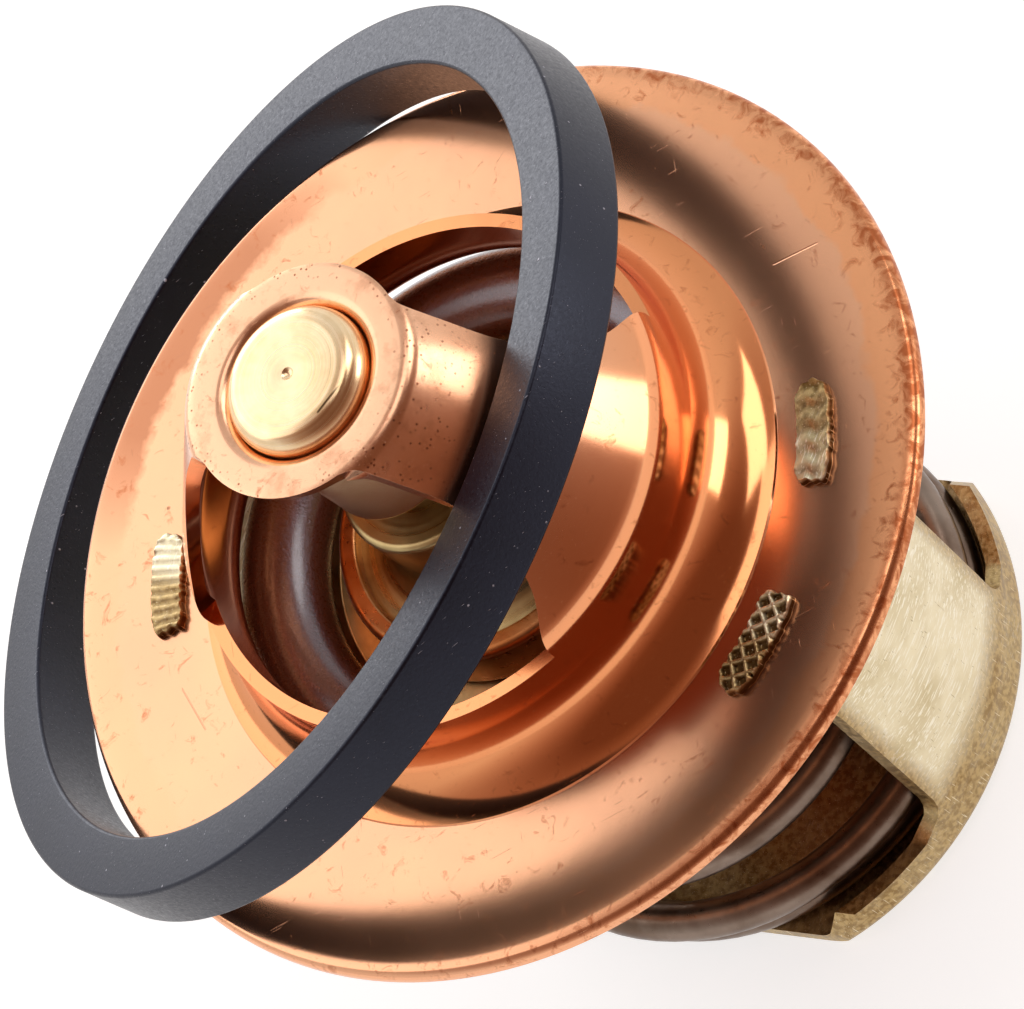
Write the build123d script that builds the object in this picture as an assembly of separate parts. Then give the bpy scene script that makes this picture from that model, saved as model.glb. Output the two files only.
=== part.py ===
# Wax-element coolant valve, standing on the flat plate of its rear cage. Z runs up the
# valve axis, the two bridge legs and the two cage legs lie along X. All sizes in mm.
from build123d import *
import math
import os

os.makedirs("parts", exist_ok=True)

# Height of the flange's front face over the plate the valve stands on
flange_face = 30.0

# Front pressing: flange, drawn throat, bridge and head in one sheet
sheet = 0.8
flange_r = 27.0
flange_edge_round = 0.6
flange_back_round = 0.15
coined_r = 18.35
coining_reach = 3.0
throat_r = 15.2
throat_bend_r = 4.2
shoulder_height = 7.36
shoulder_round = 2.9
cone_slope = 0.67
head_height = 19.5
head_round = 1.1
neck_bore_r = 4.32
neck_height = 16.6
neck_round = 0.85
shoulder_z = flange_face + shoulder_height
head_top = flange_face + head_height
neck_end = flange_face + neck_height

# Windows between the two bridge legs
sill_height = 6.2
window_half_x = 11.6
leg_neck_half = 4.65
leg_foot_round = 3.5
head_disc_r = 6.8
head_leg_round = 2.0
window_sill = flange_face + sill_height

# Rear cage: one strip pressing with a plate, a turned-up lip and two legs
cage_sheet = 0.9
cage_wall_r = 17.95
cage_wall_lean = 0.1
cage_corner_r = 1.25
cage_lip_top = 2.9
cage_bend_z = 4.5
cage_bend_r = 12.0
cage_side_half = 13.9
cage_lip_slant = 0.9
leg_half = 6.4
leg_foot_r = 2.0
leg_spread_drop = 9.5
leg_top_half = 9.1
leg_top_drop = 4.0
leg_spread_round = 2.5
leg_at_flange_r = 21.25
leg_spread_z = flange_face - leg_spread_drop
leg_top_z = flange_face - leg_top_drop

# Leg tabs, passed through slots in the flange and peened over
tab_angle = 17.0
tab_span = 17.5
tab_width = 2.2
tab_height = 0.6
tab_corner = 0.7
tab_edge_round = 0.3
tab_root = 0.3
slot_clearance = 0.05

# Element: pin, piston, guide, boot, wax and cup
pin_fit = 0.02
pin_stand = 0.9
pin_round = 1.2
pin_chamfer = 0.3
pin_end_height = 9.7
pin_bore_deep = 5.8
punch_r = 0.38
punch_deep = 0.35
piston_r = 1.8
piston_chamfer = 0.3
piston_reach = 18.0
sliding_fit = 0.05
guide_r = 5.1
guide_height = 7.2
guide_flange_r = 8.35
guide_flange_over = 0.35
guide_flange_under = 0.9
guide_flat_rim = 0.4
guide_edge_round = 0.45
washer_r = 3.4
washer_thick = 1.0
washer_fit = 0.02
boot_sheet = 0.8
boot_r = 3.2
boot_end_gap = 0.4
boot_end_round = 1.2
cup_sheet = 0.8
cup_r = 7.3
cup_bottom = 0.3
cup_bottom_round = 1.2
cup_lip_sheet = 0.85
cup_lip_height = 0.65
cup_lip_hold = 0.45
cup_lip_round = 0.55
cup_lip_inner_round = 0.25
cup_flange_round = 0.5
disc_fit = 0.03
cage_guide_fit = 0.08
pin_r = neck_bore_r - pin_fit
pin_top = head_top + pin_stand
pin_bottom = flange_face + pin_end_height
pin_bore_end = pin_bottom + pin_bore_deep
piston_bottom = flange_face - piston_reach
guide_top = flange_face + guide_height
guide_flange_top = flange_face + guide_flange_over
guide_flange_bottom = flange_face - guide_flange_under
boot_bore_end = piston_bottom - boot_end_gap
cup_seat = guide_flange_bottom - boot_sheet
cup_lip_r = guide_flange_r + cup_lip_sheet
cup_lip_top = guide_flange_top + cup_lip_height
cup_lip_in_r = guide_flange_r - cup_lip_hold

# Valve disc and the rubber bead moulded on its edge
disc_sheet = 0.9
disc_rise_foot = 2.55
disc_rise_head = 1.8
disc_bend = 0.6
bead_r = 13.9
bead_grip = 0.7
bead_drop = 1.45
bead_half_width = 2.7
bead_half_height = 2.2
bead_z = flange_face - bead_drop
disc_under = cup_seat - cup_sheet - disc_sheet

# Conical main spring: its two foot coils lie on each other, with the wire's end curled in
wire_d = 2.3
spring_touch = 0.01
spring_wall_gap = 0.4
spring_curl_in = 1.1
spring_head_r = 10.0
spring_turns = 5.6
spring_start = 260.0
spring_foot_turns = 1.4
spring_head_turns = 0.9
spring_foot_r = cage_wall_r - cage_sheet - wire_d / 2 - spring_wall_gap

# Loose flange seal, hooked over the flange and leaning on a bridge leg
seal_inset = 0.33
seal_width = 3.58
seal_height = 3.94
seal_edge = 0.2
seal_tilt = 24.8
seal_turn = -3.3
seal_leg_gap = 0.03
seal_rim_inset = 0.21
seal_r = flange_r - seal_inset


def turned(sketch):
    return revolve(Plane.XZ * sketch, Axis.Z)


def outline(*points):
    return make_face(Polyline(*points, close=True))


def sector(r_in, r_out, angle, span, low, high):
    ring = Circle(r_out) - Circle(r_in)
    a, b = math.radians(angle - span / 2), math.radians(angle + span / 2)
    reach = 2 * r_out
    wedge = outline(
        (0, 0),
        (reach * math.cos(a), reach * math.sin(a)),
        (reach * math.cos(b), reach * math.sin(b)),
    )
    return extrude(Pos(0, 0, low) * (ring & wedge), high - low)


tab_angles = [tab_angle, -tab_angle, 180 - tab_angle, 180 + tab_angle]
tab_r = leg_at_flange_r - cage_sheet / 2


def flange_bridge():
    half = sheet / 2
    bend_centre_r = throat_r + throat_bend_r
    bend = CenterArc(
        (bend_centre_r, flange_face + throat_bend_r), throat_bend_r + half, 180, 90
    )
    head_z = head_top - half
    bend_angle = math.atan(cone_slope)
    throat_mid = throat_r - half
    shoulder_mid = shoulder_z - half * math.tan(bend_angle / 2)
    head_mid = throat_mid - cone_slope * (head_z - shoulder_mid)
    neck_mid = neck_bore_r + half
    shell = FilletPolyline(
        (throat_mid, flange_face + throat_bend_r),
        (throat_mid, shoulder_mid),
        (head_mid, head_z),
        (neck_mid, head_z),
        (neck_mid, neck_end),
        radius=[shoulder_round - half, head_round - half, neck_round - half],
    )
    section = trace(bend, sheet) + trace(shell, sheet)
    section -= Pos(coined_r, flange_face) * Rectangle(
        flange_r, coining_reach, align=(Align.MIN, Align.MIN)
    )
    section += Pos(coined_r, flange_face) * Rectangle(
        flange_r - coined_r, sheet, align=(Align.MIN, Align.MAX)
    )
    body = turned(section)
    rim = body.edges().filter_by(GeomType.CIRCLE).group_by(SortBy.RADIUS)[-1].sort_by(Axis.Z)
    body = fillet(rim[-1], flange_edge_round)
    rim = body.edges().filter_by(GeomType.CIRCLE).group_by(SortBy.RADIUS)[-1].sort_by(Axis.Z)
    body = fillet(rim[0], flange_back_round)

    window = Rectangle(2 * window_half_x, 4 * throat_r) - Rectangle(
        3 * window_half_x, 2 * leg_neck_half
    )
    window -= Circle(head_disc_r)
    outer = [
        v for v in window.vertices()
        if abs(abs(v.Y) - leg_neck_half) < 0.01 and abs(v.X) > window_half_x - 0.1
    ]
    window = fillet(outer, leg_foot_round)
    inner = [
        v for v in window.vertices()
        if abs(abs(v.Y) - leg_neck_half) < 0.01 and abs(v.X) < head_disc_r
    ]
    window = fillet(inner, head_leg_round)
    body -= extrude(Pos(0, 0, window_sill) * window, pin_top)

    for angle in tab_angles:
        body -= sector(
            tab_r - cage_sheet / 2 - slot_clearance,
            tab_r + cage_sheet / 2 + slot_clearance,
            angle,
            tab_span + 0.4,
            flange_face - 2 * sheet,
            flange_face + sheet,
        )
    return body


def rear_cage():
    half = cage_sheet / 2
    plate_bore = cup_r + cage_guide_fit
    lip_half = cage_side_half - cage_lip_slant
    strip = FilletPolyline(
        (plate_bore, half),
        (cage_wall_r - half, half),
        (cage_wall_r - half + cage_wall_lean, cage_bend_z),
        (tab_r, flange_face - sheet),
        radius=[cage_corner_r - half, cage_bend_r],
    )
    shell = turned(trace(strip, cage_sheet))
    reach = 3 * flange_r
    shell &= Pos(0, 0, (flange_face - sheet) / 2) * Box(reach, reach, flange_face - sheet)

    side = outline(
        (-cage_side_half, -cage_sheet),
        (cage_side_half, -cage_sheet),
        (cage_side_half, cage_sheet),
        (lip_half, cage_lip_top),
        (leg_half, cage_lip_top),
        (leg_half, leg_spread_z),
        (leg_top_half, leg_top_z),
        (leg_top_half, flange_face),
        (-leg_top_half, flange_face),
        (-leg_top_half, leg_top_z),
        (-leg_half, leg_spread_z),
        (-leg_half, cage_lip_top),
        (-lip_half, cage_lip_top),
        (-cage_side_half, cage_sheet),
    )
    feet = [
        v for v in side.vertices()
        if abs(abs(v.X) - leg_half) < 0.01 and abs(v.Y - cage_lip_top) < 0.01
    ]
    side = fillet(feet, leg_foot_r)
    bends = [
        v for v in side.vertices()
        if abs(v.Y - leg_spread_z) < 0.01 or abs(v.Y - leg_top_z) < 0.01
    ]
    side = fillet(bends, leg_spread_round)
    body = shell & extrude(Plane.YZ * side, flange_r, both=True)

    for angle in tab_angles:
        body += sector(
            tab_r - half, tab_r + half, angle, tab_span, flange_face - sheet - tab_root, flange_face
        )
        head = sector(
            tab_r - tab_width / 2,
            tab_r + tab_width / 2,
            angle,
            tab_span,
            flange_face,
            flange_face + tab_height,
        )
        head = fillet(head.edges().filter_by(Axis.Z), tab_corner)
        head = fillet(head.faces().sort_by(Axis.Z)[-1].edges(), tab_edge_round)
        body += head
    return body


def adjusting_pin():
    body = Pos(0, 0, pin_bottom) * Cylinder(
        pin_r, pin_top - pin_bottom, align=(Align.CENTER, Align.CENTER, Align.MIN)
    )
    body = fillet(body.edges().sort_by(Axis.Z)[-1], pin_round)
    body = chamfer(body.edges().filter_by(GeomType.CIRCLE).sort_by(Axis.Z)[0], pin_chamfer)
    body -= Pos(0, 0, pin_bottom) * Cylinder(
        piston_r + sliding_fit,
        pin_bore_deep,
        align=(Align.CENTER, Align.CENTER, Align.MIN),
    )
    body -= Pos(0, 0, pin_top - punch_deep / 2) * Cone(0.02, punch_r, punch_deep)
    return body


def piston():
    length = pin_bore_end - piston_bottom
    body = Pos(0, 0, piston_bottom + length / 2) * Cylinder(piston_r, length)
    return chamfer(body.edges().filter_by(GeomType.CIRCLE), piston_chamfer)


def element_guide():
    bore = piston_r + sliding_fit
    profile = outline(
        (bore, guide_flange_bottom + washer_thick),
        (washer_r, guide_flange_bottom + washer_thick),
        (washer_r, guide_flange_bottom),
        (guide_flange_r, guide_flange_bottom),
        (guide_flange_r, guide_flange_top),
        (guide_r, guide_flange_top),
        (guide_r, guide_top),
        (bore, guide_top),
    )
    body = turned(profile)
    foot = [
        e for e in body.edges().filter_by(GeomType.CIRCLE)
        if abs(e.radius - guide_r) < 0.01 and abs(e.center().Z - guide_flange_top) < 0.01
    ]
    body = fillet(foot, guide_flange_r - guide_r - guide_flat_rim)
    top = [
        e for e in body.edges().filter_by(GeomType.CIRCLE)
        if abs(e.center().Z - guide_top) < 0.01 and e.radius > guide_r - 0.1
    ]
    return fillet(top, guide_edge_round)


def guide_washer():
    low = guide_flange_bottom
    ring = Circle(washer_r - washer_fit) - Circle(piston_r + sliding_fit)
    return extrude(Pos(0, 0, low) * ring, washer_thick)


def piston_boot():
    bore = piston_r + sliding_fit
    top = guide_flange_bottom
    tip = boot_bore_end - (boot_r - bore)
    profile = outline(
        (bore, top),
        (guide_flange_r, top),
        (guide_flange_r, cup_seat),
        (boot_r, cup_seat),
        (boot_r, tip),
        (0, tip),
        (0, boot_bore_end),
        (bore, boot_bore_end),
    )
    body = turned(profile)
    end = body.edges().filter_by(GeomType.CIRCLE).sort_by(Axis.Z)[0]
    return fillet(end, boot_end_round)


def wax_charge():
    top = cup_seat
    low = cup_bottom + cup_sheet
    body = Pos(0, 0, (top + low) / 2) * Cylinder(cup_r - cup_sheet, top - low)
    body = fillet(body.edges().filter_by(GeomType.CIRCLE).sort_by(Axis.Z)[0], cup_bottom_round - cup_sheet)
    return body - piston_boot() - piston_cavity()


def piston_cavity():
    low = boot_bore_end
    high = guide_flange_bottom
    return Pos(0, 0, (low + high) / 2) * Cylinder(piston_r + sliding_fit, high - low)


def wax_cup():
    seat = cup_seat
    inner = cup_r - cup_sheet
    profile = outline(
        (0, cup_bottom),
        (cup_r, cup_bottom),
        (cup_r, seat - cup_sheet),
        (cup_lip_r, seat - cup_sheet),
        (cup_lip_r, cup_lip_top),
        (cup_lip_in_r, cup_lip_top),
        (cup_lip_in_r, guide_flange_top),
        (guide_flange_r, guide_flange_top),
        (guide_flange_r, seat),
        (inner, seat),
        (inner, cup_bottom + cup_sheet),
        (0, cup_bottom + cup_sheet),
    )

    def corner(sketch, x, y, radius):
        spot = [v for v in sketch.vertices() if abs(v.X - x) < 0.01 and abs(v.Y - y) < 0.01]
        return fillet(spot, radius)

    profile = corner(profile, cup_r, cup_bottom, cup_bottom_round)
    profile = corner(profile, inner, cup_bottom + cup_sheet, cup_bottom_round - cup_sheet)
    profile = corner(profile, cup_lip_r, cup_lip_top, cup_lip_round)
    profile = corner(profile, cup_lip_in_r, cup_lip_top, cup_lip_inner_round)
    profile = corner(profile, cup_lip_r, seat - cup_sheet, cup_flange_round)
    return turned(profile)


def valve_disc():
    half = disc_sheet / 2
    foot_r = bead_r - disc_rise_foot
    rise = FilletPolyline(
        (cup_r + disc_fit, disc_under + half),
        (foot_r, disc_under + half),
        (bead_r - disc_rise_head, bead_z),
        (bead_r + bead_grip, bead_z),
        radius=disc_bend,
    )
    return turned(trace(rise, disc_sheet))


def valve_bead():
    section = Pos(bead_r, bead_z) * Ellipse(bead_half_width, bead_half_height)
    return turned(section) - valve_disc()


def main_spring():
    low = cage_sheet + wire_d / 2 + spring_touch
    high = disc_under - wire_d / 2 - spring_touch
    last = spring_turns
    top_coil = last - spring_head_turns
    lift = 0.92 * wire_d
    nest = 0.44 * wire_d
    rise = high - low
    foot = spring_foot_turns
    span = top_coil - foot
    knots = [
        (0.0, spring_foot_r - spring_curl_in, low),
        (0.1 * foot, spring_foot_r - spring_curl_in, low),
        (0.3 * foot, spring_foot_r, low),
        (0.5 * foot, spring_foot_r, low + 0.06 * lift),
        (foot - 0.4, spring_foot_r - 0.3 * nest, low + 1.02 * wire_d),
        (foot, spring_foot_r, low + 1.06 * wire_d),
        (foot + 0.2 * span, spring_foot_r - 1.8 * nest, low + 0.29 * rise),
        (foot + 0.5 * span, spring_foot_r - 3.0 * nest, low + 0.5 * rise),
        (foot + 0.8 * span, spring_head_r + 1.7 * nest, low + 0.71 * rise),
        (top_coil, spring_head_r + 1.1 * nest, high - 1.9 * lift),
        (last - 0.5 * spring_head_turns, spring_head_r + 0.2 * nest, high - 0.4 * lift),
        (last, spring_head_r, high),
    ]

    def slope(i, column):
        if i == 0 or i == len(knots) - 1:
            return 0.0
        a, b, c = knots[i - 1], knots[i], knots[i + 1]
        before = (b[column] - a[column]) / (b[0] - a[0])
        after = (c[column] - b[column]) / (c[0] - b[0])
        if before * after <= 0:
            return 0.0
        return 2 * before * after / (before + after)

    def smooth(t, column):
        i = max(k for k in range(len(knots) - 1) if knots[k][0] <= t + 1e-9)
        a, b = knots[i], knots[i + 1]
        width = b[0] - a[0]
        s = (t - a[0]) / width
        return (
            a[column] * (2 * s**3 - 3 * s**2 + 1)
            + width * slope(i, column) * (s**3 - 2 * s**2 + s)
            + b[column] * (3 * s**2 - 2 * s**3)
            + width * slope(i + 1, column) * (s**3 - s**2)
        )

    count = 112
    path = []
    for k in range(count + 1):
        t = last * k / count
        r = smooth(t, 1)
        angle = math.radians(spring_start) + 2 * math.pi * t
        path.append((r * math.cos(angle), r * math.sin(angle), smooth(t, 2)))
    line = Spline(*path)
    wire = Plane(origin=line @ 0, z_dir=line % 0) * Circle(wire_d / 2)
    return sweep(wire, path=line, is_frenet=True)


def seal_rest():
    """Centre of the seal's bottom face, where it rests on the flange's rim and a leg."""
    tilt = math.radians(seal_tilt)
    bore = seal_r - seal_width

    def centre_x(height):
        leg_z = height + bore * math.sin(tilt)
        leg_r = throat_r - cone_slope * (leg_z - shoulder_height) + seal_leg_gap
        return leg_r - bore * math.cos(tilt)

    def rim_r(height):
        along = -height / math.sin(tilt)
        x = centre_x(height) + along * math.cos(tilt)
        return math.hypot(x, math.sqrt(bore**2 - along**2))

    low, high = 0.0, shoulder_height
    for _ in range(60):
        middle = (low + high) / 2
        if rim_r(middle) < flange_r - seal_rim_inset:
            low = middle
        else:
            high = middle
    return centre_x(high), high


def seal_ring():
    section = Pos(seal_r - seal_width / 2, seal_height / 2) * RectangleRounded(
        seal_width, seal_height, seal_edge
    )
    x, height = seal_rest()
    tilt = Rot(0, 0, seal_turn) * Pos(x, 0, flange_face + height) * Rot(0, -seal_tilt, 0)
    return tilt * turned(section)


nodes = {
    "flange_bridge": flange_bridge,
    "rear_cage": rear_cage,
    "adjusting_pin": adjusting_pin,
    "piston": piston,
    "element_guide": element_guide,
    "guide_washer": guide_washer,
    "piston_boot": piston_boot,
    "wax_charge": wax_charge,
    "wax_cup": wax_cup,
    "valve_disc": valve_disc,
    "valve_bead": valve_bead,
    "main_spring": main_spring,
    "seal_ring": seal_ring,
}

for name, make in nodes.items():
    solid = make()
    export_step(solid, f"parts/{name}.step")
    print(name, round(solid.volume, 1), solid.bounding_box())
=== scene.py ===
"""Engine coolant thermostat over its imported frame: visible pieces, their finishes and the stage."""

import math
from collections import Counter
from types import SimpleNamespace

import bmesh
import bpy
import numpy as np
from bpy.props import FloatProperty, FloatVectorProperty, PointerProperty
from mathutils import Matrix, Vector


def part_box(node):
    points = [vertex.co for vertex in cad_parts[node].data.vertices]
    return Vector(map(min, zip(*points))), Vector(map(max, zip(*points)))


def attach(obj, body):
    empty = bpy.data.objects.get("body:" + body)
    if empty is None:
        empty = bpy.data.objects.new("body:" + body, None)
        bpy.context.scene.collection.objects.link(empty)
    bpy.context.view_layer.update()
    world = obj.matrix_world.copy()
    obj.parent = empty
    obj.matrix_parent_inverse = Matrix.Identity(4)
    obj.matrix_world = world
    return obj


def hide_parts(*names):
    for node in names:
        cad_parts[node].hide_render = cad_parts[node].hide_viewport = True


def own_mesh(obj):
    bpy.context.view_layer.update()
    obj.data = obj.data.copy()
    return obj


bl_info = {
    "name": "Engine thermostat",
    "version": (1, 0, 0),
    "blender": (4, 5, 0),
    "location": "View3D > Sidebar > Thermostat",
    "description": "Builds the visible pieces of a wax-element engine thermostat",
    "category": "Object",
}

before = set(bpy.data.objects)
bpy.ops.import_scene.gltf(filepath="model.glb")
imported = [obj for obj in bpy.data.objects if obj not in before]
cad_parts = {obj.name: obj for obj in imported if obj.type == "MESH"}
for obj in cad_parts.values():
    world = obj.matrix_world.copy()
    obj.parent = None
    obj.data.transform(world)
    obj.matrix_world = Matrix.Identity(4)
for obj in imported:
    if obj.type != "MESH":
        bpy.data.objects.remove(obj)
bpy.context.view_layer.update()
MM = 0.001

# Front pressing, in mm as all that follows: heights are over the flange's face
FACE = 30.0
RIM_ROUND = 0.6
RIM_BACK_ROUND = 0.35
COIN_R = 18.35
THROAT_BEND = 4.2
SHOULDER = 7.36
SHOULDER_ROUND = 2.9
BRIDGE_SLOPE = 0.67
HEAD = 19.5
HEAD_ROUND = 1.1
NECK_FOOT = 16.6
NECK_ROUND = 0.85

# Windows of the bridge: their foot beside the leg, half the leg's neck, and roundings
WINDOW_X = 11.6
WINDOW_END = 11.0
NECK_HALF = 4.65
FOOT_ROUND = 3.5
HEAD_LEG_ROUND = 2.0

# Cage: plate, lip, knee, half the leg's width at each height, and peened tabs
CAGE_HOLE = 7.38
CAGE_SIDE = 13.9
CAGE_BEND = 1.25
KNEE_HEIGHT = 4.5
KNEE_BEND = 12.0
LIP_HALF = 8.4
LIP_SLANT = 0.9
LEG_EDGE = (
    (3.05, 7.64), (3.3, 7.23), (3.6, 6.89), (4.1, 6.56), (4.9, 6.4), (19.0, 6.4), (20.3, 6.55),
    (21.5, 7.0), (24.6, 8.6), (25.6, 8.95), (26.6, 9.1), (29.2, 9.1),
)
TAB_R = 20.8
TAB_HALF_ARC = 8.75
TAB_HALF_WIDTH = 1.1
TAB_HEIGHT = 0.6
TABS = ((17.0, "soft"), (-17.0, "knurl"), (163.0, "fine"), (197.0, "fine"))

# Pin, wax element and bead; the cup as corners of its section, each inner one with its rounding
PIN_TOP = 50.4
PIN_R = 4.3
PIN_FOOT = 39.7
PUNCH_MARK = (0.38, 0.35)
PISTON_R = 1.85
PISTON_TOP = 45.5
GUIDE_FOOT = 29.1
GUIDE_TOP = 37.2
GUIDE_R = 5.1
GUIDE_FLANGE = (8.35, 30.35)
CUP = (
    (0, 0.3), (7.3, 0.3), (7.3, 27.5), (9.2, 27.5), (9.2, 31.0), (7.9, 31.0), (7.9, 30.36),
    (8.36, 30.36), (8.36, 28.3), (6.5, 28.3), (6.5, 1.1), (0, 1.1),
)
CUP_ROUNDS = (1.2, 0.3, 0.5, 0.55, 0.25, 0, 0, 0, 0, 0.4)
BEAD_MIDDLE = (13.9, 28.55)
BEAD_HALF = (2.7, 2.2)

# Loose seal: middle of its face, its turn round the axis and its tip in degrees, its rounding
SEAL_PLACE = (-10.766, 0.621, 36.328)
SEAL_TURN = 176.7
SEAL_TIP = 24.8
SEAL_ROUND = 0.22

# Wear: azimuths in degrees of the flange's stain and patch, and scratches from, to, half width
STAIN_SIDE = 25.0
PATCH_SIDE = 160.0
SCRATCHES = (
    ((8.8, -1.2, 47.0), (9.3, -0.4, 46.6), 0.07),
    ((-9.5, -19.9, FACE), (-8.3, -20.6, FACE), 0.09),
    ((14.2, 15.6, FACE), (16.6, 17.0, FACE), 0.06),
    ((-17.0, -12.0, FACE), (-14.6, -14.2, FACE), 0.05),
)
PIN_NICK = ((3.6, -0.3, PIN_TOP), (2.7, -2.0, PIN_TOP), 0.1)

# Spring: azimuth of its foot end, gap to the plate, and its wire's centre line in turns from
# that end, distance from the axis and height over the first coil
SPRING_FOOT = 260.0
PLATE_GAP = 0.01
SPRING = (
    (0.0, 14.4, 0.0), (0.14, 14.4, 0.0), (0.42, 15.5, 0.0), (0.7, 15.5, 0.127),
    (1.0, 15.196, 2.346), (1.4, 15.5, 2.438), (2.06, 13.678, 6.78), (3.05, 12.464, 11.69),
    (4.04, 11.72, 16.6), (4.7, 11.113, 19.36), (5.15, 10.202, 22.534), (5.6, 10.0, 23.38),
)

# Softboxes: name, way to it, distance, way of its first side, shift along that, size in metres,
# brightness where 1 is white. The world's dark side is where the photograph is taken from.
LAMPS = (
    ("overhead", (-0.575, 0.256, 0.777), 0.30, (-0.96, -0.27, 0.0), 0.138, (0.30, 0.50), 1.03),
    ("top", (0.05, 0.25, 0.97), 0.40, (1.0, 0.0, 0.0), 0.0, (0.14, 0.16), 1.6),
    ("window", (0.31, 0.58, 0.75), 0.40, (1.0, 0.0, 0.0), 0.0, (0.16, 0.17), 2.8),
    ("side", (0.803, 0.583, 0.122), 0.45, (-0.583, 0.803, 0.0), 0.0, (0.19, 0.15), 3.3),
    ("back", (-0.87, 0.48, 0.08), 0.35, (0.48, 0.87, 0.0), 0.02, (0.22, 0.14), 2.6),
)
DARK_SIDE = (0.575, -0.256, 0.777)

# Table: share and brightness of the glow the camera sees, half its side and its height
GLOW_SHARE = 0.45
GLOW = 1.6
TABLE_HALF = 900
TABLE_HEIGHT = -0.02


def rgb(code):
    """Linear colour of an sRGB hex value."""
    values = [int(code[i : i + 2], 16) / 255 for i in (0, 2, 4)]
    linear = [v / 12.92 if v <= 0.04045 else ((v + 0.055) / 1.055) ** 2.4 for v in values]
    return (*linear, 1.0)


def add(tree, kind, inputs=(), out=0, stops=(), **settings):
    """One shader node with its settings, colour stops and inputs; gives one output, or all."""
    node = tree.nodes.new("ShaderNode" + kind)
    for key, value in settings.items():
        setattr(node, key, value)
    for number, (spot, colour) in enumerate(stops):
        points = node.color_ramp.elements
        point = points[number] if number < 2 else points.new(spot)
        point.position = spot
        point.color = colour
    for key, value in dict(inputs).items():
        if isinstance(value, bpy.types.NodeSocket):
            tree.links.new(value, node.inputs[key])
        else:
            node.inputs[key].default_value = value
    return node.outputs if out is None else node.outputs[out]


def new_material(name):
    """An empty material and its nodes."""
    mat = bpy.data.materials.new(name)
    mat.use_nodes = True
    mat.node_tree.nodes.clear()
    return mat, mat.node_tree


def finish_material(tree, height, sockets):
    """The shader with these sockets, and the height, in mm, as its bump."""
    bump = add(tree, "Bump", {"Height": height, "Distance": MM, "Strength": 1.0})
    shader = add(tree, "BsdfPrincipled", {"Normal": bump, **sockets})
    add(tree, "OutputMaterial", {"Surface": shader}, None)


def laid_over(tree, base, *layers):
    """A base with colours laid over it in turn, each where its own pattern is."""
    for pattern, colour in layers:
        base = add(tree, "Mix", {0: pattern, 6: base, 7: colour}, 2, data_type="RGBA")
    return base


def piled_up(tree, *layers):
    """The height of patterns that lie on each other, each with its own thickness in mm."""
    height = 0.0
    for pattern, thickness in layers:
        height = add(tree, "Math", {0: pattern, 1: thickness, 2: height}, operation="MULTIPLY_ADD")
    return height


def heading(azimuth):
    """Level unit vector at an azimuth in degrees."""
    return (math.cos(math.radians(azimuth)), math.sin(math.radians(azimuth)), 0.0)


def specks(tree, where, spacing_mm, radius_mm, share):
    """Scattered round dots: one in each cell of a random pattern, kept in a share of the cells."""
    cells = add(tree, "TexVoronoi", {"Vector": where, "Scale": 1 / (spacing_mm * MM)}, None)
    pick = add(tree, "SeparateColor", {0: cells["Color"]})
    kept = add(tree, "Math", {0: pick, 1: share}, operation="LESS_THAN")
    edge = radius_mm / spacing_mm
    dot = add(tree, "MapRange", {"Value": cells["Distance"], "From Min": edge, "From Max": edge * 0.5})
    return add(tree, "Math", {0: dot, 1: kept}, operation="MULTIPLY")


def strokes(tree, where, long_mm, fine_mm, turn, least):
    """Short fine scratches along one way: the crests of a drawn-out noise."""
    drawn = add(tree, "Mapping", {
        "Vector": where, "Rotation": turn, "Scale": (long_mm * MM, fine_mm * MM, fine_mm * MM),
    }, vector_type="TEXTURE")
    wave = add(tree, "TexNoise", {"Vector": drawn, "Scale": 1.0, "Detail": 1.0}, "Fac")
    return add(tree, "MapRange", {"Value": wave, "From Min": least, "From Max": least + 0.04})


def line_mark(tree, where, start, end, width_mm):
    """One straight scratch between two points, in mm."""
    a, b = Vector(start) * MM, Vector(end) * MM
    along = b - a
    from_a = add(tree, "VectorMath", {0: where, 1: a}, operation="SUBTRACT")
    step = along / along.length_squared
    part = add(tree, "VectorMath", {0: from_a, 1: step}, "Value", operation="DOT_PRODUCT")
    part = add(tree, "Math", {0: part, 1: 1.0}, operation="MULTIPLY", use_clamp=True)
    near = add(tree, "VectorMath", {0: along, 3: part}, operation="SCALE")
    far = add(tree, "VectorMath", {0: from_a, 1: near}, "Value", operation="DISTANCE")
    return add(tree, "MapRange", {
        "Value": far, "From Min": width_mm * MM, "From Max": width_mm * MM * 0.4,
    })


def to_object(name, verts, faces, material, sharp=35.0, matrix=None):
    """A mesh object from points in mm, smooth except at edges sharper than the angle."""
    mesh = bpy.data.meshes.new(name)
    mesh.from_pydata([Vector(v) * MM for v in verts], [], faces)
    work = bmesh.new()
    work.from_mesh(mesh)
    bmesh.ops.remove_doubles(work, verts=work.verts, dist=1e-6)
    bmesh.ops.dissolve_degenerate(work, edges=work.edges, dist=1e-7)
    bmesh.ops.recalc_face_normals(work, faces=work.faces)
    work.to_mesh(mesh)
    work.free()
    if matrix is not None:
        mesh.transform(matrix)
    mesh.shade_smooth()
    mesh.set_sharp_from_angle(angle=math.radians(sharp))
    obj = bpy.data.objects.new(name, mesh)
    bpy.context.scene.collection.objects.link(obj)
    mesh.materials.append(material)
    return obj


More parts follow.
